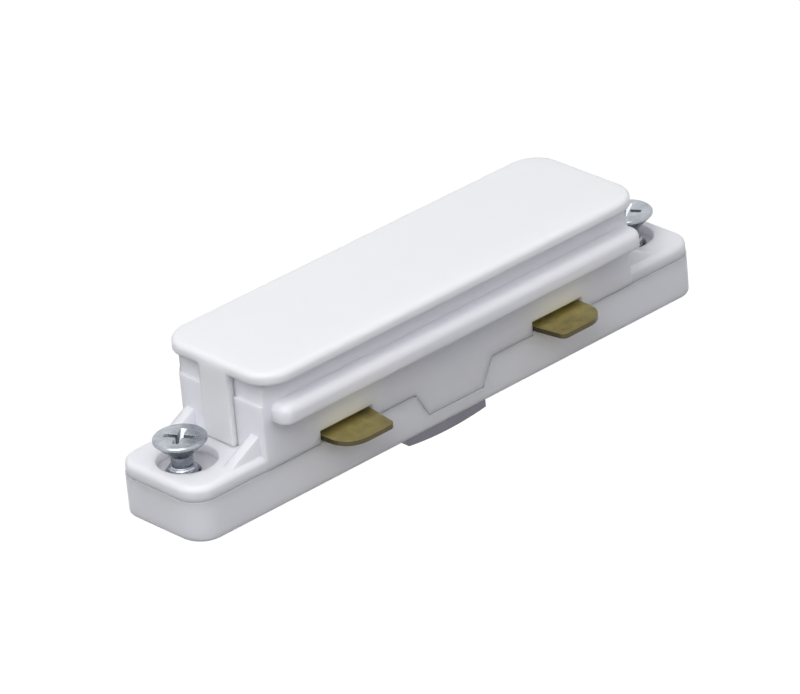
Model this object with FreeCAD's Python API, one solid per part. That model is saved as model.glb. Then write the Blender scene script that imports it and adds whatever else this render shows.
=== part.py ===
import FreeCAD, Part
import math
import os

os.makedirs("parts", exist_ok=True)
V = FreeCAD.Vector

# Driving sizes in mm. Heights are taken from the underside of the housing.
total_length = 95.0
shell_width = 16.7
shelf_length = 12.78
end_radius = 3.6
nose_radius = 0.6
underside_edge = 0.35
seam_height = 6.05
shelf_height = 8.2
shelf_step = 0.1
shelf_edge = 0.9
rail_bottom = 13.0
rail_top = 15.7
rail_span = 22.5
rail_edge = 1.3
rail_corner = 1.6
rail_setback = 1.75
body_corner = 0.4
neck_step = 0.5
neck_flare = 1.2
flare_corner = 3.8
wall = 2.0
floor = 1.3
roof = 1.2

cover_overhang = 0.85
cover_width = 21.8
cover_bottom = 19.3
cover_thickness = 1.7
cover_radius = 4.6
cover_edge = 0.8
leg_width = 5.5
leg_thickness = 1.2
leg_rise = 0.1
leg_toe = 0.3
hook_height = 12.0
hook_depth = 0.5

blade_inset = 14.74
slot_width = 9.7
slot_top = 8.05
blade_width = 9.5
blade_reach = 13.7
blade_taper = 0.2
blade_lean = 0.8
blade_corner = 3.6
blade_nick = 1.0
strip_thickness = 0.7
strip_rise = 0.6
strip_inner = 1.7
strip_width = 3.4
web = 1.0
rib = 1.2
rib_inset = 6.15
rib_gap = 8.3
sill_stop = 1.2

tongue_top = 14.5
tongue_foot = 10.05
tongue_low = 2.15
tongue_depth = 1.5
tongue_relief = 0.35

screw_inset = 5.2
screw_turn = 32.0
head_diameter = 7.5
head_rim = 0.5
head_top = 12.0
neck_diameter = 3.1
thread_diameter = 4.0
thread_top = 7.8
thread_tip = 1.0
recess_span = 4.4
recess_width = 0.9
recess_depth = 1.9
sink_inset = 6.07
sink_diameter = 8.5
sink_floor = 0.8
screw_hole = 5.0
nut_side = 7.0
nut_height = 2.2

gusset_length = 5.4
gusset_height = 2.9
gusset_width = 1.6
gusset_ledge = 0.9

peg_diameter = 1.6
peg_height = 1.2
peg_gap = 2.25
peg_side = 2.8

spring_depth = 1.8
spring_end = 1.3
spring_length = 14.6
spring_shift = -1.6
spring_width = 15.7
spring_sheet = 0.6
spring_leg_width = 5.0
spring_leg = 2.6
spring_rim_gap = 0.1

# Clearances between separate pieces.
seam_play = 0.12
thread_play = 0.15
slide_play = 0.15
pocket_play = 0.15
peg_play = 0.1

# Sizes worked out from the ones above.
half_length = total_length / 2
half_shell = shell_width / 2
half_body = half_length - shelf_length
body_length = 2 * half_body
cover_length = body_length + 2 * cover_overhang
half_rail = rail_span / 2
half_neck = half_body - neck_step
half_room = half_shell - wall
room_length = body_length - 2 * leg_thickness - 2 * wall
strip_bottom = seam_height + strip_rise
strip_top = strip_bottom + strip_thickness
cover_top = cover_bottom + cover_thickness
sink_z = seam_height + sink_floor
cone_height = (head_diameter - neck_diameter) / 2
nut_bottom = seam_height - nut_height - pocket_play
ends = (-1, 1)
blade_centre = half_body - blade_inset
rib_places = [side * place for side in ends for place in (blade_centre - rib_gap, half_body - rib_inset)]
peg_x = half_body + peg_gap
peg_y = half_shell - peg_side
sink_centre = half_length - sink_inset
screw_centre = half_length - screw_inset


def box(x0, x1, y0, y1, z0, z1):
    return Part.makeBox(x1 - x0, y1 - y0, z1 - z0, V(x0, y0, z0))


def centred(length, width, z0, z1, x=0, y=0):
    return box(x - length / 2, x + length / 2, y - width / 2, y + width / 2, z0, z1)


def rod(diameter, z0, z1, x=0, y=0):
    return Part.makeCylinder(diameter / 2, z1 - z0, V(x, y, z0))


def rounded_plate(length, width, radius, z0, z1, x=0, y=0):
    a = length / 2 - radius
    b = width / 2 - radius
    corners = ((a, b, 0), (-a, b, 90), (-a, -b, 180), (a, -b, 270))
    spots = []
    for cx, cy, turn in corners:
        for step in (0, 45, 90):
            angle = math.radians(turn + step)
            spots.append(V(x + cx + radius * math.cos(angle), y + cy + radius * math.sin(angle), z0))
    edges = []
    for k in range(0, 12, 3):
        edges.append(Part.Arc(spots[k], spots[k + 1], spots[k + 2]).toShape())
        edges.append(Part.LineSegment(spots[k + 2], spots[(k + 3) % 12]).toShape())
    return Part.Face(Part.Wire(edges)).extrude(V(0, 0, z1 - z0))


def side_prism(points, y0, y1):
    wire = Part.makePolygon([V(x, y0, z) for x, z in points + points[:1]])
    return Part.Face(wire).extrude(V(0, y1 - y0, 0))


def edges_where(shape, test):
    return [e for e in shape.Edges if test(e)]


def at_height(edge, z):
    return all(abs(v.Z - z) < 1e-6 for v in edge.Vertexes)


def upright(edge, x, y):
    return len(edge.Vertexes) == 2 and all(abs(v.X - x) < 1e-6 and abs(v.Y - y) < 1e-6 for v in edge.Vertexes)


def turned(shape):
    half_turn = shape.copy()
    half_turn.rotate(V(0, 0, 0), V(0, 0, 1), 180)
    return half_turn


def mirrored_x(shape):
    return shape.mirror(V(0, 0, 0), V(1, 0, 0))


def mirrored_y(shape):
    return shape.mirror(V(0, 0, 0), V(0, 1, 0))


def save(name, shape):
    whole = shape.removeSplitter()
    whole.translate(V(0, 0, spring_depth))
    whole.exportStep("parts/" + name + ".step")


# Side wall tongue: the upper housing dips into a notch of the lower one.
def tongue(y0, y1, play, top):
    points = [
        (-tongue_top / 2 - play, top),
        (tongue_top / 2 + play, top),
        (tongue_top / 2 + play, seam_height),
        (tongue_foot / 2 + play, tongue_low - play),
        (-tongue_foot / 2 - play, tongue_low - play),
        (-tongue_top / 2 - play, seam_height),
    ]
    return side_prism(points, y0, y1)


# Round reliefs at two corners of the front notch.
def notch_reliefs():
    spots = ((-tongue_top / 2, seam_height), (tongue_foot / 2, tongue_low))
    return [
        Part.makeCylinder(tongue_relief, tongue_depth + 1, V(x, -half_shell - 1, z), V(0, 1, 0)) for x, z in spots
    ]


# Sill: raises the lower wall inside one blade slot, short of the slot's outer end, and carries the blade.
def sill(side, place):
    near = place * (blade_centre - slot_width / 2 + seam_play)
    far = place * (blade_centre + slot_width / 2 - sill_stop)
    x0, x1 = sorted((near, far))
    y0, y1 = sorted((side * half_room, side * half_shell))
    return box(x0, x1, y0, y1, seam_height - 1, strip_bottom)


# Lower housing: a tray whose underside edge is crisp along the sides and swells to a nose at both ends.
def nosed_plate():
    plate = rounded_plate(total_length, shell_width, end_radius, 0, seam_height)
    document = FreeCAD.newDocument("housing")
    base = document.addObject("Part::Feature", "plate")
    base.Shape = plate
    nose = document.addObject("Part::Fillet", "nose")
    nose.Base = base
    radii = []
    for index, edge in enumerate(plate.Edges, 1):
        if at_height(edge, 0):
            at_ends = [abs(abs(v.X) - half_length) < 1e-6 for v in (edge.Vertexes[0], edge.Vertexes[-1])]
            radii.append((index, *(nose_radius if end else underside_edge for end in at_ends)))
    nose.Edges = radii
    document.recompute()
    return nose.Shape.copy()


def lower_housing():
    tray = nosed_plate()
    room = rounded_plate(room_length, 2 * half_room, 1.0, floor, seam_height)
    tray = tray.cut(room)
    inside = [centred(room_length, web, floor, seam_height)]
    for x in rib_places:
        inside.append(centred(rib, 2 * half_room, floor, seam_height, x))
        for side in ends:
            y = side * (strip_inner + strip_width / 2)
            inside.append(centred(rib, strip_width, floor, strip_bottom, x, y))
    for side in ends:
        inside.extend(sill(side, place) for place in ends)
    tray = tray.fuse(inside)
    cuts = []
    for relief in notch_reliefs():
        cuts.extend([relief, mirrored_y(relief)])
    for side in ends:
        y0, y1 = sorted((side * (half_shell - tongue_depth), side * (half_shell + 1)))
        cuts.append(tongue(y0, y1, seam_play, seam_height + 1))
        x = side * screw_centre
        pocket = nut_side + 2 * pocket_play
        cuts.append(centred(pocket, pocket, nut_bottom, seam_height, x))
        cuts.append(rod(screw_hole, 0, nut_bottom, x))
        slit = spring_sheet + 2 * pocket_play
        slit_x = spring_shift + side * (spring_length - spring_sheet) / 2
        cuts.append(centred(slit, spring_leg_width + 2 * pocket_play, 0, spring_leg + pocket_play, slit_x))
    tray = tray.cut(cuts)
    pegs = []
    for sx in ends:
        for sy in ends:
            pegs.append(rod(peg_diameter, seam_height - 1, seam_height + peg_height, sx * peg_x, sy * peg_y))
    return tray.fuse(pegs)


# Rail along one side: square run with rounded lead-in ends and a soft upper edge.
def rail():
    length = body_length - rail_setback
    root = 1 - half_shell
    depth = half_rail + root
    plate = rounded_plate(length, 2 * depth, rail_corner, rail_bottom, rail_top, rail_setback / 2, root)
    front = plate.cut(box(-half_length, half_length, root, half_length, rail_bottom - 1, rail_top + 1))
    top_edges = edges_where(front, lambda e: at_height(e, rail_top) and e.CenterOfMass.y < root - 1e-6)
    return front.makeFillet(rail_edge, top_edges)


# Neck profile: upright sides that flare outwards in a hollow round under the cover.
def flared_profile(half):
    low = rail_top - 1
    start = cover_bottom - neck_flare
    bend = neck_flare * (1 - math.sqrt(0.5))
    rise = neck_flare * math.sqrt(0.5)
    edges = [Part.LineSegment(V(-half, 0, low), V(half, 0, low))]
    for side in ends:
        foot = V(side * half, 0, start)
        middle = V(side * (half + bend), 0, start + rise)
        rim = V(side * (half + neck_flare), 0, cover_bottom)
        edges.append(Part.LineSegment(V(side * half, 0, low), foot))
        edges.append(Part.Arc(foot, middle, rim))
    edges.append(Part.LineSegment(V(-half - neck_flare, 0, cover_bottom), V(half + neck_flare, 0, cover_bottom)))
    return Part.Face(Part.Wire(Part.__sortEdges__([e.toShape() for e in edges])))


# Neck: carries the cover, with the flare running round all four sides and trimmed at the corners.
def neck():
    along = flared_profile(half_neck)
    along.translate(V(0, -half_rail, 0))
    across = flared_profile(half_shell)
    across.rotate(V(0, 0, 0), V(0, 0, 1), 90)
    across.translate(V(-half_length, 0, 0))
    length = 2 * (half_neck + neck_flare)
    width = shell_width + 2 * neck_flare
    trim = rounded_plate(length, width, flare_corner, rail_top - 1, cover_bottom)
    return along.extrude(V(0, rail_span, 0)).common(across.extrude(V(total_length, 0, 0))).common(trim)


# Gusset: a low wedge between the shelf and the end wall.
def gusset():
    x0 = half_body - 1
    x1 = half_body + gusset_length
    low = shelf_height - 0.5
    points = [
        (x0, low),
        (x1, low),
        (x1, shelf_height),
        (half_body, shelf_height + gusset_height),
        (x0, shelf_height + gusset_height),
    ]
    y1 = -half_shell + shelf_step + gusset_ledge
    return side_prism(points, y1, y1 + gusset_width)


# Upper housing: end shelves, hollow body, rails and the neck that carries the cover.
def upper_housing():
    shell = rounded_plate(
        total_length - 2 * shelf_step,
        shell_width - 2 * shelf_step,
        end_radius - shelf_step,
        seam_height,
        shelf_height,
    )
    top_edges = edges_where(shell, lambda e: at_height(e, shelf_height))
    shell = shell.makeFillet(shelf_edge, top_edges)
    body = centred(body_length, shell_width, seam_height, rail_top)
    corners = edges_where(
        body, lambda e: any(upright(e, sx * half_body, sy * half_shell) for sx in ends for sy in ends)
    )
    body = body.makeFillet(body_corner, corners)
    front_rail = rail()
    wedge = gusset()
    wedges = [wedge, mirrored_x(wedge), mirrored_y(wedge), turned(wedge)]
    shell = shell.fuse([body, neck(), front_rail, mirrored_y(front_rail)] + wedges)
    room = rounded_plate(room_length, 2 * half_room, 1.0, seam_height, cover_bottom - roof)
    shell = shell.cut(room)
    presses = [centred(room_length + 1, web, seam_height, cover_bottom - roof + 0.5)]
    for x in rib_places:
        press = centred(rib, 2 * half_room + 1, strip_top, cover_bottom - roof + 0.5, x)
        presses.append(press)
    for side in ends:
        y0, y1 = sorted((side * (half_shell - tongue_depth + seam_play), side * half_shell))
        presses.append(tongue(y0, y1, 0, seam_height + 1))
    shell = shell.fuse(presses)
    cuts = []
    for side in ends:
        for place in ends:
            y0, y1 = sorted((side * (half_room - 0.2), side * (half_shell + 1)))
            x = place * blade_centre
            cuts.append(box(x - slot_width / 2, x + slot_width / 2, y0, y1, seam_height, slot_top))
            cuts.append(rod(peg_diameter + 2 * peg_play, seam_height, seam_height + peg_height + peg_play,
                            place * peg_x, side * peg_y))
        cuts.append(rod(sink_diameter, sink_z, shelf_height + 1, side * sink_centre))
        cuts.append(rod(screw_hole, seam_height, sink_z, side * screw_centre))
        back = cover_length / 2 - leg_thickness - slide_play
        x0, x1 = sorted((side * back, side * cover_length / 2))
        w = leg_width / 2 + slide_play
        cuts.append(box(x0, x1, -w, w, shelf_height, cover_bottom))
        x0, x1 = sorted((side * (back - hook_depth - slide_play), side * back))
        w = leg_width / 4 + slide_play
        cuts.append(box(x0, x1, -w, w, hook_height - slide_play, hook_height + 1.4 + slide_play))
    return shell.cut(cuts)


# Cover: soft-edged plate with one spring leg at each end.
def cover():
    plate = rounded_plate(cover_length, cover_width, cover_radius, cover_bottom, cover_top)
    top_edges = edges_where(plate, lambda e: at_height(e, cover_top))
    plate = plate.makeFillet(cover_edge, top_edges)
    outer = cover_length / 2
    inner = outer - leg_thickness
    leg = box(inner, outer, -leg_width / 2, leg_width / 2, shelf_height + leg_rise, cover_bottom + 0.5)
    toe = edges_where(leg, lambda e: at_height(e, shelf_height + leg_rise) and abs(e.CenterOfMass.x - outer) < 1e-6)
    leg = leg.makeFillet(leg_toe, toe)
    hook = side_prism(
        [
            (inner + 0.2, hook_height),
            (inner, hook_height),
            (inner - hook_depth, hook_height + 1.2),
            (inner, hook_height + 1.4),
            (inner + 0.2, hook_height + 1.4),
        ],
        -leg_width / 4,
        leg_width / 4,
    )
    return plate.fuse([leg, hook, turned(leg), turned(hook)])


# Blade: narrows towards its tip, with a large lead-in corner on the side away from the middle.
def blade(side, root):
    outer = blade_centre + blade_width / 2
    inner = blade_centre - blade_width / 2
    outline = [
        (outer, root),
        (outer, -half_shell),
        (outer - blade_taper, -blade_reach),
        (inner + blade_lean, -blade_reach),
        (inner, -half_shell),
        (inner, root),
    ]
    spots = [V(side * x, y, strip_bottom) for x, y in outline]
    plate = Part.Face(Part.makePolygon(spots + spots[:1])).extrude(V(0, 0, strip_thickness))
    lead = edges_where(plate, lambda e: upright(e, side * (outer - blade_taper), -blade_reach))
    plate = plate.makeFillet(blade_corner, lead)
    near = edges_where(plate, lambda e: upright(e, side * (inner + blade_lean), -blade_reach))
    return plate.makeFillet(blade_nick, near)


# Contact strip: one flat run with a blade at each end that passes out through the side wall.
def contact_strip():
    run_end = blade_centre + blade_width / 2
    y0 = -strip_inner - strip_width
    strip = box(-run_end, run_end, y0, -strip_inner, strip_bottom, strip_top)
    return strip.fuse([blade(side, y0 + 0.5) for side in ends])


# Earth spring: a bowed leaf with turned-up rims, and both ends bent up into the underside.
def earth_spring():
    a = spring_length / 2
    t = spring_sheet
    y = -spring_width / 2
    rise = spring_depth - spring_end
    bow = (a * a + rise * rise) / (2 * rise)
    middle = -spring_depth + bow
    inner_end = -spring_end + t
    outer = Part.Arc(V(-a, y, -spring_end), V(0, y, -spring_depth), V(a, y, -spring_end)).toShape()
    inner_bow = bow - t
    low = middle - math.sqrt(inner_bow ** 2 - (a - t) ** 2)
    inner = Part.Arc(V(a, y, low), V(0, y, -spring_depth + t), V(-a, y, low)).toShape()
    start = Part.LineSegment(V(-a, y, low), V(-a, y, -spring_end)).toShape()
    stop = Part.LineSegment(V(a, y, -spring_end), V(a, y, low)).toShape()
    leaf = Part.Face(Part.Wire([outer, stop, inner, start])).extrude(V(0, spring_width, 0))
    lip = -spring_rim_gap
    corners = [V(a, y, -spring_end), V(a, y, lip), V(-a, y, lip), V(-a, y, -spring_end)]
    rim = Part.Face(Part.Wire([outer] + Part.makePolygon(corners).Edges)).extrude(V(0, t, 0))
    legs = [rim, mirrored_y(rim)]
    for side in ends:
        x0, x1 = sorted((side * a, side * (a - t)))
        legs.append(box(x0, x1, -spring_leg_width / 2, spring_leg_width / 2, low - 0.1, spring_leg))
        x0, x1 = sorted((side * a, side * (a - t)))
        legs.append(box(x0, x1, y, -y, low - 0.1, 0))
    spring = leaf.fuse(legs)
    spring.translate(V(spring_shift, 0, 0))
    return spring


# Clamp screw: flat countersunk head, waisted neck and a threaded end.
def clamp_screw():
    r = head_diameter / 2
    n = neck_diameter / 2
    t = thread_diameter / 2
    rim = head_top - head_rim
    cone = rim - cone_height
    points = [
        V(0, 0, head_top),
        V(r - 0.2, 0, head_top),
        V(r, 0, head_top - 0.2),
        V(r, 0, rim),
        V(n, 0, cone),
        V(n, 0, thread_top),
        V(t, 0, thread_top - (t - n)),
        V(t, 0, thread_tip + 0.6),
        V(t - 0.6, 0, thread_tip),
        V(0, 0, thread_tip),
        V(0, 0, head_top),
    ]
    screw = Part.Face(Part.makePolygon(points)).revolve(V(0, 0, 0), V(0, 0, 1), 360)
    well = Part.makeCone(0.5, recess_span / 2, recess_depth, V(0, 0, head_top - recess_depth))
    wide = recess_span + 1
    cross = centred(wide, recess_width, head_top - recess_depth, head_top)
    cross = cross.fuse(centred(recess_width, wide, head_top - recess_depth, head_top))
    screw = screw.cut(cross.common(well))
    return screw


def square_nut():
    nut = centred(nut_side, nut_side, nut_bottom, nut_bottom + nut_height)
    return nut.cut(rod(thread_diameter + 2 * thread_play, 0, seam_height))


save("lower_housing", lower_housing())
save("upper_housing", upper_housing())
save("cover", cover())
front_strip = contact_strip()
save("contact_strip_front", front_strip)
save("contact_strip_back", turned(front_strip))
save("earth_spring", earth_spring())
for name, side in (("left", -1), ("right", 1)):
    screw = clamp_screw()
    screw.rotate(V(0, 0, 0), V(0, 0, 1), screw_turn)
    screw.translate(V(side * screw_centre, 0, 0))
    save("clamp_screw_" + name, screw)
    nut = square_nut()
    nut.translate(V(side * screw_centre, 0, 0))
    save("clamp_nut_" + name, nut)
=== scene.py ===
import math
import bpy
import bmesh
from mathutils import Matrix, Vector


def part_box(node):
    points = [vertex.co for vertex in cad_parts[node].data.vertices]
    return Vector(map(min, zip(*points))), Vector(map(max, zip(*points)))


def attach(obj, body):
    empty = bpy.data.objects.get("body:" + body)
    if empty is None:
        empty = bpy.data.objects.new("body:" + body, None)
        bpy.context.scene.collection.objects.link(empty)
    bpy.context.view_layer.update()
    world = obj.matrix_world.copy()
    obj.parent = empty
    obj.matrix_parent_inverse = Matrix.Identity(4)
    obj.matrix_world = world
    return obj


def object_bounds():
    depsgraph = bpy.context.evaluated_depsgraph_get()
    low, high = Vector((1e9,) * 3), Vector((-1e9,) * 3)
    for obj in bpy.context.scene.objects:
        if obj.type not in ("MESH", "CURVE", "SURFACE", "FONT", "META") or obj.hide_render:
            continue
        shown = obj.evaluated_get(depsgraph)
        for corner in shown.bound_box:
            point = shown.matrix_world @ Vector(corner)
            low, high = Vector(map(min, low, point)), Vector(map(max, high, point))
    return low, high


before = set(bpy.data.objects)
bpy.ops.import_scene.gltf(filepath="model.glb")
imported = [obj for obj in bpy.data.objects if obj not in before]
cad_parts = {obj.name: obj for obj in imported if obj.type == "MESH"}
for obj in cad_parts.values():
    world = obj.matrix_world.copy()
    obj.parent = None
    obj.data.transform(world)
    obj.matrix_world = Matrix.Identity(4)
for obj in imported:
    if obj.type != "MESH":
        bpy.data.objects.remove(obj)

mm = 0.001
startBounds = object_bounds()
print("frame loaded:", len(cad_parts), "nodes")


# node helpers: an underscore in a socket's keyword stands for a space
def addNode(tree, kind, x=0, y=0, **inputs):
    node = tree.nodes.new(kind)
    node.location = (x, y)
    for name, value in inputs.items():
        node.inputs[name.replace("_", " ")].default_value = value
    return node


def joinUp(tree, source, node, socket):
    tree.links.new(source, node.inputs[socket])


# feed: a socket takes either another node's output or a plain value
def feed(tree, socket, value):
    if hasattr(value, "links"):
        tree.links.new(value, socket)
    else:
        socket.default_value = value


def newGroup(name, sockets):
    group = bpy.data.node_groups.new(name, "ShaderNodeTree")
    for label, direction, kind, value in sockets:
        socket = group.interface.new_socket(label, in_out=direction, socket_type=kind)
        if value is not None:
            socket.default_value = value
    inlet = addNode(group, "NodeGroupInput", -1000, 0)
    outlet = addNode(group, "NodeGroupOutput", 1000, 0)
    return group, inlet, outlet


def placeGroup(tree, group, x=0, y=0, **inputs):
    node = tree.nodes.new("ShaderNodeGroup")
    node.node_tree = group
    node.location = (x, y)
    for name, value in inputs.items():
        node.inputs[name.replace("_", " ")].default_value = value
    return node


def noise(tree, vector, scale, detail=3.0, rough=0.5, x=0, y=0):
    node = addNode(tree, "ShaderNodeTexNoise", x, y, Detail=detail, Roughness=rough)
    feed(tree, node.inputs["Scale"], scale)
    joinUp(tree, vector, node, "Vector")
    return node.outputs["Fac"]


def remap(tree, value, low, high, toLow, toHigh, x=0, y=0):
    node = addNode(tree, "ShaderNodeMapRange", x, y)
    joinUp(tree, value, node, "Value")
    for name, limit in (("From Min", low), ("From Max", high), ("To Min", toLow), ("To Max", toHigh)):
        feed(tree, node.inputs[name], limit)
    return node.outputs["Result"]


def math2(tree, operation, a, b, x=0, y=0):
    node = addNode(tree, "ShaderNodeMath", x, y)
    node.operation = operation
    for socket, value in zip(node.inputs, (a, b)):
        feed(tree, socket, value)
    return node.outputs["Value"]


def mixColor(tree, factor, a, b, x=0, y=0):
    node = addNode(tree, "ShaderNodeMix", x, y)
    node.data_type = "RGBA"
    for socket, value in zip((node.inputs[0], node.inputs[6], node.inputs[7]), (factor, a, b)):
        feed(tree, socket, value)
    return node.outputs[2]


# painted edge light: 1 along the edges, broken up by noise, from the bevelled normal against the true one; it
# places painted highlights on the plastic and zinc edges and painted shade on the sheet-metal edges
def buildPaintedEdgeLight():
    group, inlet, outlet = newGroup("paintedEdgeLight", [
        ("Radius", "INPUT", "NodeSocketFloat", 0.0003),
        ("Break Up", "INPUT", "NodeSocketFloat", 300.0),
        ("Mask", "OUTPUT", "NodeSocketFloat", None),
        ("Normal", "OUTPUT", "NodeSocketVector", None),
    ])
    bevel = addNode(group, "ShaderNodeBevel", -700, 100)
    bevel.samples = 6
    joinUp(group, inlet.outputs["Radius"], bevel, "Radius")
    geometry = addNode(group, "ShaderNodeNewGeometry", -700, -100)
    dot = addNode(group, "ShaderNodeVectorMath", -500, 0)
    dot.operation = "DOT_PRODUCT"
    group.links.new(bevel.outputs["Normal"], dot.inputs[0])
    group.links.new(geometry.outputs["Normal"], dot.inputs[1])
    edge = remap(group, dot.outputs["Value"], 0.995, 0.8, 0.0, 1.0, -300, 0)
    coords = addNode(group, "ShaderNodeTexCoord", -700, -350)
    speckle = noise(group, coords.outputs["Object"], inlet.outputs["Break Up"], 4.0, 0.6, -300, -300)
    broken = remap(group, speckle, 0.4, 0.65, 0.25, 1.0, -100, -300)
    joinUp(group, math2(group, "MULTIPLY", edge, broken, 200, 0), outlet, "Mask")
    joinUp(group, bevel.outputs["Normal"], outlet, "Normal")
    return group


# mouldGrain: the fine spark-eroded grain and slow sink of a moulded face, as a height
def buildMouldGrain():
    group, inlet, outlet = newGroup("mouldGrain", [
        ("Grain Scale", "INPUT", "NodeSocketFloat", 4200.0),
        ("Wave Scale", "INPUT", "NodeSocketFloat", 90.0),
        ("Height", "OUTPUT", "NodeSocketFloat", None),
        ("Tone", "OUTPUT", "NodeSocketFloat", None),
    ])
    coords = addNode(group, "ShaderNodeTexCoord", -800, 0)
    fine = noise(group, coords.outputs["Object"], inlet.outputs["Grain Scale"], 2.0, 0.6, -500, 200)
    slow = noise(group, coords.outputs["Object"], inlet.outputs["Wave Scale"], 2.0, 0.4, -500, -100)
    fineShare = math2(group, "MULTIPLY", fine, 0.25, -200, 200)
    joinUp(group, math2(group, "ADD", fineShare, slow, 100, 100), outlet, "Height")
    joinUp(group, slow, outlet, "Tone")
    return group


# sideFaces: 0 on faces that look up or down, and the share on upright ones; it places painted shade on the
# sheet-metal's upright faces and a painted dark reflection on the screws' flanks
def buildSideFaces():
    group, inlet, outlet = newGroup("sideFaces", [
        ("Flat", "INPUT", "NodeSocketFloat", 0.6),
        ("Upright", "INPUT", "NodeSocketFloat", 0.3),
        ("Share", "INPUT", "NodeSocketFloat", 1.0),
        ("Mask", "OUTPUT", "NodeSocketFloat", None),
    ])
    coords = addNode(group, "ShaderNodeTexCoord", -800, 0)
    upward = addNode(group, "ShaderNodeSeparateXYZ", -600, 0)
    joinUp(group, coords.outputs["Normal"], upward, "Vector")
    slope = math2(group, "ABSOLUTE", upward.outputs["Z"], 0, -400, 0)
    flat, upright, share = (inlet.outputs[name] for name in ("Flat", "Upright", "Share"))
    joinUp(group, remap(group, slope, flat, upright, 0.0, share, 0, 0), outlet, "Mask")
    return group


# painted shade in hollows: 0 in the open and the share in a hollow, with how open each spot is
def buildHollowShading():
    group, inlet, outlet = newGroup("hollowShading", [
        ("Reach", "INPUT", "NodeSocketFloat", 0.001),
        ("Deep", "INPUT", "NodeSocketFloat", 0.3),
        ("Open", "INPUT", "NodeSocketFloat", 0.75),
        ("Share", "INPUT", "NodeSocketFloat", 0.5),
        ("Mask", "OUTPUT", "NodeSocketFloat", None),
        ("Openness", "OUTPUT", "NodeSocketFloat", None),
    ])
    hollow = addNode(group, "ShaderNodeAmbientOcclusion", -600, 0)
    hollow.samples = 6
    joinUp(group, inlet.outputs["Reach"], hollow, "Distance")
    deep, clear, share = (inlet.outputs[name] for name in ("Deep", "Open", "Share"))
    joinUp(group, remap(group, hollow.outputs["AO"], deep, clear, share, 0.0, 0, 0), outlet, "Mask")
    joinUp(group, hollow.outputs["AO"], outlet, "Openness")
    return group


paintedEdgeLight = buildPaintedEdgeLight()
mouldGrain = buildMouldGrain()
sideFaces = buildSideFaces()
hollowShading = buildHollowShading()
print("shared node groups built")


def newMaterial(name):
    material = bpy.data.materials.new(name)
    material.use_nodes = True
    tree = material.node_tree
    tree.nodes.clear()
    shader = addNode(tree, "ShaderNodeBsdfPrincipled", 600, 0)
    output = addNode(tree, "ShaderNodeOutputMaterial", 900, 0)
    tree.links.new(shader.outputs["BSDF"], output.inputs["Surface"])
    return material, tree, shader


# finishBump: a height and the softened edge normal go to the shader together
def finishBump(tree, shader, height, edgeNormal, strength, depth):
    bump = addNode(tree, "ShaderNodeBump", 250, -300, Strength=strength, Distance=depth)
    joinUp(tree, height, bump, "Height")
    joinUp(tree, edgeNormal, bump, "Normal")
    joinUp(tree, bump.outputs["Normal"], shader, "Normal")


# the edge colour and its share paint a highlight along the edges
housingLook = {
    "colour": (0.86, 0.86, 0.91, 1), "colourShade": (0.83, 0.83, 0.88, 1),
    "edgeHighlightColour": (0.92, 0.92, 0.95, 1), "edgeHighlightShare": 0.3, "edgeRadius": 0.22 * mm,
    "dustColour": (0.66, 0.65, 0.63, 1), "dust": 0.10, "dustScale": 160.0,
    "roughLow": 0.36, "roughHigh": 0.46, "specular": 0.5, "index": 1.49,
    "grainScale": 4200.0, "bump": 0.12, "bumpDepth": 0.03 * mm,
    "milkiness": 0.8, "scatter": (3.0, 3.0, 3.1),  # how far light travels inside, in mm
}
coverLook = {
    "colour": (0.895, 0.9, 0.93, 1), "colourShade": (0.875, 0.88, 0.91, 1),
    "edgeHighlightColour": (0.94, 0.94, 0.955, 1), "edgeHighlightShare": 0.4, "edgeRadius": 0.3 * mm,
    "dustColour": (0.7, 0.69, 0.67, 1), "dust": 0.06, "dustScale": 160.0,
    "roughLow": 0.3, "roughHigh": 0.4, "specular": 0.5, "index": 1.49,
    "grainScale": 3600.0, "bump": 0.1, "bumpDepth": 0.03 * mm,
    "milkiness": 0.8, "scatter": (3.0, 3.0, 3.1),
}


# mouldedPlastic: milky satin plastic with a fine grain, a trace of dust and painted highlights along the
# edges
def mouldedPlastic(name, look):
    material, tree, shader = newMaterial(name)
    shader.inputs["Specular IOR Level"].default_value = look["specular"]
    shader.inputs["IOR"].default_value = look["index"]
    shader.inputs["Subsurface Weight"].default_value = look["milkiness"]
    shader.inputs["Subsurface Radius"].default_value = look["scatter"]
    shader.inputs["Subsurface Scale"].default_value = 1 * mm
    grain = placeGroup(tree, mouldGrain, -900, 200, Grain_Scale=look["grainScale"])
    edgeLightMask = placeGroup(tree, paintedEdgeLight, -900, -200, Radius=look["edgeRadius"])
    coords = addNode(tree, "ShaderNodeTexCoord", -1200, 0)
    dust = noise(tree, coords.outputs["Object"], look["dustScale"], 5.0, 0.65, -900, -500)
    tone = mixColor(tree, grain.outputs["Tone"], look["colour"], look["colourShade"], -600, 200)
    dustShare = remap(tree, dust, 0.62, 0.8, 0.0, look["dust"], -600, -500)
    dusty = mixColor(tree, dustShare, tone, look["dustColour"], -300, 150)
    # painted highlight: the edges are mixed towards the paler edge colour
    edgeShare = math2(tree, "MULTIPLY", edgeLightMask.outputs["Mask"], look["edgeHighlightShare"], -600, -200)
    edged = mixColor(tree, edgeShare, dusty, look["edgeHighlightColour"], 0, 150)
    joinUp(tree, edged, shader, "Base Color")
    rough = remap(tree, dust, 0.3, 0.7, look["roughLow"], look["roughHigh"], 0, -200)
    joinUp(tree, rough, shader, "Roughness")
    finishBump(tree, shader, grain.outputs["Height"], edgeLightMask.outputs["Normal"], look["bump"], look["bumpDepth"])
    return material


housingPlastic = mouldedPlastic("housingPlastic", housingLook)
coverPlastic = mouldedPlastic("coverPlastic", coverLook)

# the edge colour is painted shade on the edges and upright faces, and the recess colour is painted shadow in
# the slots
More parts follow.
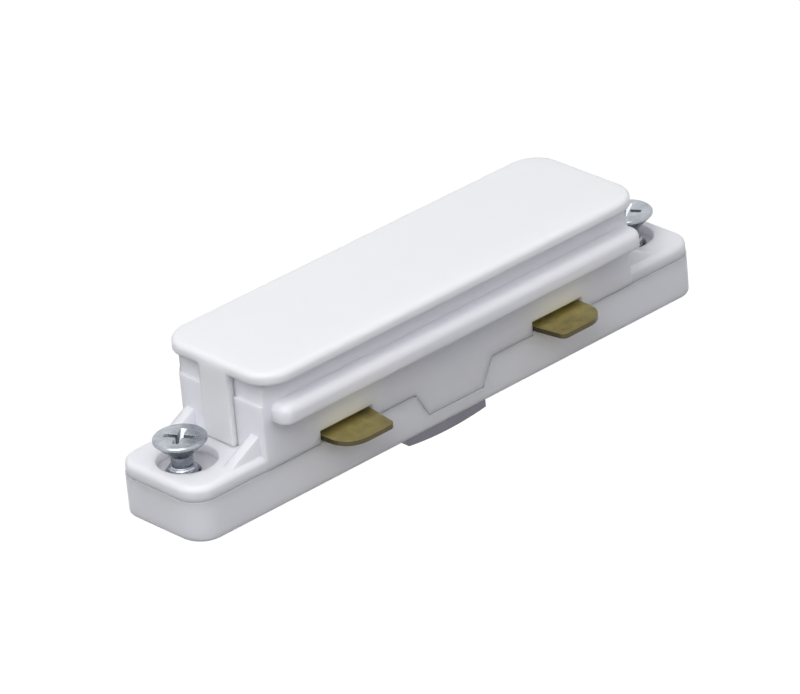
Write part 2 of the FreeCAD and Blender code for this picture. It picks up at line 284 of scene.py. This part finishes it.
brassLook = {
    "colour": (0.60, 0.52, 0.20, 1), "tarnish": (0.20, 0.17, 0.07, 1), "burr": (0.66, 0.58, 0.27, 1),
    "edge": (0.085, 0.07, 0.045, 1), "recess": (0.022, 0.017, 0.012, 1),
    "roughLow": 0.3, "roughHigh": 0.5, "rollScale": 1400.0,
}
# the spring's colours sit far below bare steel: painted shade for the shade it lies in under the body
shadedSpringLook = {
    "colour": (0.20, 0.19, 0.22, 1), "tarnish": (0.08, 0.075, 0.09, 1), "burr": (0.36, 0.36, 0.38, 1),
    "edge": (0.17, 0.165, 0.19, 1), "recess": (0.06, 0.06, 0.07, 1),
    "roughLow": 0.35, "roughHigh": 0.55, "rollScale": 1800.0,
}
# what both sheet metals share: the rolling lines' stretch, the tarnish patches, the painted shade on the
# edges and upright faces, and the painted shadow in the slots
sheetLook = {
    "stretch": (0.06, 1.0, 1.0), "patchScale": 260.0, "tarnishShare": 0.75, "burrShare": 0.25,
    "edgeRadius": 0.12 * mm, "edgeShare": 0.7, "uprightShadeShare": 0.95, "slotReach": 0.6 * mm, "slotShare": 0.9,
    "bump": 0.25, "bumpDepth": 0.02 * mm,
}


# sheetMetal: rolled strip with lengthways lines, tarnish in patches, painted shade on the edges and upright
# faces, and painted shadow in the slots
def sheetMetal(name, look, shared):
    material, tree, shader = newMaterial(name)
    shader.inputs["Metallic"].default_value = 1.0
    coords = addNode(tree, "ShaderNodeTexCoord", -1300, 0)
    stretch = addNode(tree, "ShaderNodeMapping", -1100, 0, Scale=shared["stretch"])
    joinUp(tree, coords.outputs["Object"], stretch, "Vector")
    lines = noise(tree, stretch.outputs["Vector"], look["rollScale"], 4.0, 0.6, -850, 200)
    patches = noise(tree, coords.outputs["Object"], shared["patchScale"], 4.0, 0.6, -850, -100)
    edgeLightMask = placeGroup(tree, paintedEdgeLight, -850, -400, Radius=shared["edgeRadius"])
    uprightShade = placeGroup(tree, sideFaces, -850, 450, Flat=0.6, Upright=0.3, Share=shared["uprightShadeShare"])
    slot = placeGroup(tree, hollowShading, -850, -650, Reach=shared["slotReach"], Share=shared["slotShare"])
    tarnishMask = remap(tree, patches, 0.35, 0.68, 0.0, shared["tarnishShare"], -550, -100)
    tarnished = mixColor(tree, tarnishMask, look["colour"], look["tarnish"], -250, 100)
    lineMask = remap(tree, lines, 0.3, 0.75, 0.0, shared["burrShare"], -550, 200)
    lined = mixColor(tree, lineMask, tarnished, look["burr"], 0, 100)
    # painted shade on the rounded edges and on the upright faces
    edgeLightShare = math2(tree, "MULTIPLY", edgeLightMask.outputs["Mask"], shared["edgeShare"], -250, -400)
    edged = mixColor(tree, edgeLightShare, lined, look["edge"], 100, 100)
    uprightShaded = mixColor(tree, uprightShade.outputs["Mask"], edged, look["edge"], 200, 200)
    # painted shadow inside the slots, from the hollow mask
    shadowed = mixColor(tree, slot.outputs["Mask"], uprightShaded, look["recess"], 350, 200)
    joinUp(tree, shadowed, shader, "Base Color")
    rough = remap(tree, patches, 0.3, 0.7, look["roughLow"], look["roughHigh"], 0, -100)
    joinUp(tree, rough, shader, "Roughness")
    finishBump(tree, shader, lines, edgeLightMask.outputs["Normal"], shared["bump"], shared["bumpDepth"])
    return material


contactBrass = sheetMetal("contactBrass", brassLook, sheetLook)
shadedSpringSteel = sheetMetal("shadedSpringSteel", shadedSpringLook, sheetLook)

# the darkest colours are painted: a dark reflection on the flanks and shade in the hollows; the edge colour
# is a painted highlight
zincLook = {
    "colour": (0.53, 0.56, 0.605, 1), "shade": (0.36, 0.39, 0.435, 1), "hollowShadeColour": (0.2, 0.21, 0.24, 1),
    "flankReflection": (0.2, 0.21, 0.24, 1), "edge": (0.8, 0.81, 0.83, 1),
    "flankReflectionShare": 0.35, "hollowShadeShare": 0.3, "hollowShadeReach": 1.2 * mm, "edgeShare": 0.5, "edgeRadius": 0.1 * mm,
    "roughLow": 0.2, "roughHigh": 0.34, "bloomScale": 520.0, "grimeScale": 900.0,
    "bump": 0.2, "bumpDepth": 0.02 * mm,
}


# zincPlate: bright plating that blooms in patches, with a painted dark reflection on the upright flanks,
# painted shade and less metal in the hollows, and painted highlights on the edges
def zincPlate(name, look):
    material, tree, shader = newMaterial(name)
    coords = addNode(tree, "ShaderNodeTexCoord", -1300, 0)
    bloom = noise(tree, coords.outputs["Object"], look["bloomScale"], 5.0, 0.6, -850, 200)
    grime = noise(tree, coords.outputs["Object"], look["grimeScale"], 3.0, 0.6, -850, -100)
    edgeLightMask = placeGroup(tree, paintedEdgeLight, -850, -400, Radius=look["edgeRadius"])
    flankReflection = placeGroup(tree, sideFaces, -850, 450, Flat=0.85, Upright=0.6, Share=look["flankReflectionShare"])
    hollow = placeGroup(tree, hollowShading, -850, -650, Reach=look["hollowShadeReach"], Deep=0.2, Open=0.8,
                        Share=look["hollowShadeShare"])
    bloomMask = remap(tree, bloom, 0.35, 0.65, 0.0, 1.0, -550, 200)
    plated = mixColor(tree, bloomMask, look["colour"], look["shade"], -250, 200)
    # painted dark reflection on the upright flanks
    sided = mixColor(tree, flankReflection.outputs["Mask"], plated, look["flankReflection"], -100, 300)
    # painted shade in the hollows
    hollowShaded = mixColor(tree, hollow.outputs["Mask"], sided, look["hollowShadeColour"], 0, 100)
    # painted highlight on the edges
    edgeLightShare = math2(tree, "MULTIPLY", edgeLightMask.outputs["Mask"], look["edgeShare"], -250, -400)
    joinUp(tree, mixColor(tree, edgeLightShare, hollowShaded, look["edge"], 250, 100), shader, "Base Color")
    joinUp(tree, remap(tree, hollow.outputs["Openness"], 0.3, 0.75, 0.25, 1.0, 0, 300), shader, "Metallic")
    rough = remap(tree, grime, 0.3, 0.7, look["roughLow"], look["roughHigh"], 0, -100)
    joinUp(tree, rough, shader, "Roughness")
    finishBump(tree, shader, grime, edgeLightMask.outputs["Normal"], look["bump"], look["bumpDepth"])
    return material


zincSteel = zincPlate("zincSteel", zincLook)

finishOf = {
    "lower_housing": housingPlastic, "upper_housing": housingPlastic, "cover": coverPlastic,
    "contact_strip_front": contactBrass, "contact_strip_back": contactBrass, "earth_spring": shadedSpringSteel,
    "clamp_screw_left": zincSteel, "clamp_screw_right": zincSteel,
    "clamp_nut_left": zincSteel, "clamp_nut_right": zincSteel,
}
for nodeName, material in finishOf.items():
    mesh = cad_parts[nodeName].data
    mesh.materials.clear()
    mesh.materials.append(material)
print("finishes assigned")

# rolled thread on each screw's shank, in mm, its top counted from the floor
threadLook = {
    "pitch": 0.7, "crest": 2.12, "root": 1.9, "base": 0.5, "tip": 0.5, "top": 9.5,
    "stepsPerTurn": 24,
}


def buildThread(name, body, node, look):
    low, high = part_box(node)
    start = low[2] + look["tip"] * mm
    rise = look["top"] * mm - start
    turns = rise / (look["pitch"] * mm)
    steps = int(turns * look["stepsPerTurn"])
    bm = bmesh.new()
    outline = ((look["root"], -look["base"] / 2), (look["crest"], 0), (look["root"], look["base"] / 2))
    ring = [bm.verts.new((radius * mm, 0, z * mm)) for radius, z in outline]
    sides = [bm.edges.new((ring[k], ring[(k + 1) % 3])) for k in range(3)]
    bmesh.ops.spin(bm, geom=ring + sides, cent=(0, 0, 0), axis=(0, 0, 1), dvec=(0, 0, rise / steps),
                   angle=turns * 2 * math.pi, steps=steps, use_merge=False)
    bmesh.ops.holes_fill(bm, edges=[e for e in bm.edges if e.is_boundary], sides=3)
    bmesh.ops.recalc_face_normals(bm, faces=bm.faces)
    bmesh.ops.translate(bm, verts=bm.verts, vec=((low[0] + high[0]) / 2, (low[1] + high[1]) / 2, start))
    mesh = bpy.data.meshes.new(name)
    bm.to_mesh(mesh)
    bm.free()
    mesh.materials.append(zincSteel)
    piece = bpy.data.objects.new(name, mesh)
    bpy.context.scene.collection.objects.link(piece)
    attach(piece, body)


for side in ("left", "right"):
    buildThread("screwThread" + side.capitalize(), "screw_" + side, "clamp_screw_" + side, threadLook)
print("screw threads built")

# the floor lies just under the part, and looks white but throws little light back
stageLook = {
    "floor": 0.6, "drop": 0.05 * mm,
    "floorColour": (0.12, 0.12, 0.13, 1), "floorRough": 0.9, "floorShine": 0.1,
    "shadowShare": 0.2, "glow": 1.27, "white": (1, 1, 1, 1),
    "worldColour": (0.96, 0.97, 1.0, 1), "worldStrength": 0.56,
}


# directRays: 1 for the rays that show the white surroundings, 0 for the ones that light the part
def directRays(tree, x, y):
    path = addNode(tree, "ShaderNodeLightPath", x, y)
    seen, glossy, through = (path.outputs[f"Is {kind} Ray"] for kind in ("Camera", "Glossy", "Transmission"))
    mirrored = math2(tree, "MAXIMUM", glossy, through, x + 200, y)
    return math2(tree, "MAXIMUM", seen, mirrored, x + 400, y)


def buildStage(look):
    underside = startBounds[0][2]
    bm = bmesh.new()
    bmesh.ops.create_grid(bm, x_segments=1, y_segments=1, size=look["floor"])
    bmesh.ops.translate(bm, verts=bm.verts, vec=(0, 0, underside - look["drop"]))
    mesh = bpy.data.meshes.new("floor")
    bm.to_mesh(mesh)
    bm.free()
    floor = bpy.data.objects.new("floor", mesh)
    bpy.context.scene.collection.objects.link(floor)
    material, tree, shader = newMaterial("paleFloor")
    shader.inputs["Base Color"].default_value = look["floorColour"]
    shader.inputs["Roughness"].default_value = look["floorRough"]
    shader.inputs["Specular IOR Level"].default_value = look["floorShine"]
    mesh.materials.append(material)
    output = [n for n in tree.nodes if n.type == "OUTPUT_MATERIAL"][0]
    glow = addNode(tree, "ShaderNodeEmission", 300, -300, Color=look["white"], Strength=look["glow"])
    blend = addNode(tree, "ShaderNodeMixShader", 700, -200)
    seen = math2(tree, "MULTIPLY", directRays(tree, -300, 300), 1 - look["shadowShare"], 300, 300)
    tree.links.new(seen, blend.inputs["Fac"])
    tree.links.new(shader.outputs["BSDF"], blend.inputs[1])
    tree.links.new(glow.outputs["Emission"], blend.inputs[2])
    tree.links.new(blend.outputs["Shader"], output.inputs["Surface"])


def buildRoom(look):
    world = bpy.data.worlds.new("paleRoom")
    bpy.context.scene.world = world
    world.use_nodes = True
    tree = world.node_tree
    tree.nodes.clear()
    ambient = addNode(tree, "ShaderNodeBackground", 0, 0, Color=look["worldColour"],
                      Strength=look["worldStrength"])
    backdrop = addNode(tree, "ShaderNodeBackground", 0, -200, Color=look["white"], Strength=1.0)
    blend = addNode(tree, "ShaderNodeMixShader", 300, 0)
    output = addNode(tree, "ShaderNodeOutputWorld", 500, 0)
    joinUp(tree, directRays(tree, -500, 200), blend, "Fac")
    tree.links.new(ambient.outputs["Background"], blend.inputs[1])
    tree.links.new(backdrop.outputs["Background"], blend.inputs[2])
    tree.links.new(blend.outputs["Shader"], output.inputs["Surface"])


buildStage(stageLook)
buildRoom(stageLook)

# lamps: azimuth as seen in plan from +X towards +Y, height above the floor, size and power
lampSet = [
    {"name": "windowLamp", "azimuth": 204.0, "elevation": 53.0, "distance": 0.65, "size": 0.5, "power": 2.55},
    {"name": "frontLamp", "azimuth": -75.0, "elevation": 28.0, "distance": 0.8, "size": 0.6, "power": 0.75},
]
lampTarget = Vector((0, 0, 11 * mm))


def placeLamp(lamp):
    turn, lift = (math.radians(lamp[k]) for k in ("azimuth", "elevation"))
    towards = Vector((math.cos(turn) * math.cos(lift), math.sin(turn) * math.cos(lift), math.sin(lift)))
    light = bpy.data.lights.new(lamp["name"], "AREA")
    light.shape = "SQUARE"
    light.size = lamp["size"]
    light.energy = lamp["power"]
    holder = bpy.data.objects.new(lamp["name"], light)
    holder.location = lampTarget + lamp["distance"] * towards
    holder.rotation_euler = (-towards).to_track_quat("-Z", "Y").to_euler()
    bpy.context.scene.collection.objects.link(holder)


for lamp in lampSet:
    placeLamp(lamp)
print("stage and lamps set")

# camera solved from the photograph's own edges: angles in degrees, the picture's centre in its pixels
cameraView = {
    "azimuth": -40.74, "elevation": 27.14, "roll": -5.48, "distance": 0.886, "lookHeight": 11.8 * mm,
    "pixelsPerMm": 7.27, "centre": (410.27, 333.05), "frame": (800, 694), "sensor": 36.0,
}


def buildCamera(view):
    turn, lift, roll = (math.radians(view[k]) for k in ("azimuth", "elevation", "roll"))
    back = Vector((math.sin(turn) * math.cos(lift), -math.cos(turn) * math.cos(lift), math.sin(lift)))
    level = Vector((math.cos(turn), math.sin(turn), 0))
    upright = back.cross(level)
    right = math.cos(roll) * level + math.sin(roll) * upright
    up = math.cos(roll) * upright - math.sin(roll) * level
    width, height = view["frame"]
    alongRight = -(view["centre"][0] - width / 2) / view["pixelsPerMm"] * mm
    alongUp = (view["centre"][1] - height / 2) / view["pixelsPerMm"] * mm
    place = Vector((0, 0, view["lookHeight"])) + back * view["distance"] + right * alongRight + up * alongUp
    camera = bpy.data.cameras.new("camera")
    camera.sensor_width = view["sensor"]
    camera.lens = view["sensor"] * view["pixelsPerMm"] * view["distance"] / mm / width
    camera.clip_start = 10 * mm
    holder = bpy.data.objects.new("camera", camera)
    holder.matrix_world = Matrix((
        (right.x, up.x, back.x, place.x),
        (right.y, up.y, back.y, place.y),
        (right.z, up.z, back.z, place.z),
        (0, 0, 0, 1),
    ))
    bpy.context.scene.collection.objects.link(holder)
    bpy.context.scene.camera = holder


buildCamera(cameraView)
bpy.context.scene.view_settings.view_transform = "Standard"

bpy.context.view_layer.update()
